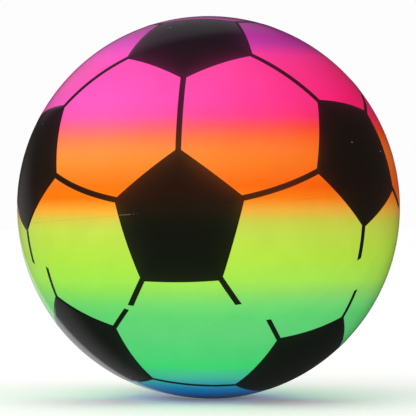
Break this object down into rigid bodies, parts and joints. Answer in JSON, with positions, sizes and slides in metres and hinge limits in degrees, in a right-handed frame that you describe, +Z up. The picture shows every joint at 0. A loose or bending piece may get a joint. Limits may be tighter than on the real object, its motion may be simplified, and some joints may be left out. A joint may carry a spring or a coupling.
{
  "type": "play ball",
  "caption": "Air-filled moulded ball with a printed football pattern, a plug valve at the top and a small flat where it rests.",
  "frame": {"origin": "middle of the ball's sphere, which is within 0.2 mm of the middle of its bounding box", "axes": "+Z up, away from the flat patch that the ball rests on; -Y is the side with the whole upright pentagon; +X is to the right of someone looking at that side"},
  "size_m": [0.22, 0.2202, 0.2196],
  "materials": {
    "moulded_skin": "glossy soft vinyl, sprayed in level bands that melt into each other: purple, pink, orange, lime, green, blue and navy from the top down",
    "black_print": "thin glossy black paint that lets a little of the band below show",
    "valve_pvc": "smooth off-white soft vinyl",
    "flap_rubber": "matt dark grey moulded rubber",
    "stopper_plastic": "smooth white moulded plastic"
  },
  "bodies": {
    "ball": {"skin": "moulded_skin", "upper_pentagons": "black_print", "upper_lines": "black_print", "lower_pentagons": "black_print", "lower_lines": "black_print", "valve_neck": "valve_pvc"},
    "stopper": {"stopper": "stopper_plastic"},
    "check_flap": {"check_flap": "flap_rubber"}
  },
  "joints": [
    {"name": "stopper_pull", "type": "slide", "parent": "ball", "child": "stopper", "axis": [-0.0872, 0, 0.9962], "range_m": [0, 0.06]},
    {"name": "flap_swing", "type": "hinge", "parent": "ball", "child": "check_flap", "pos_m": [-0.00182, 0, 0.09079], "axis": [0, -1, 0], "range_deg": [0, 70], "stiffness_Nm_per_rad": 0.0002, "springref_deg": -17.19}
  ]
}
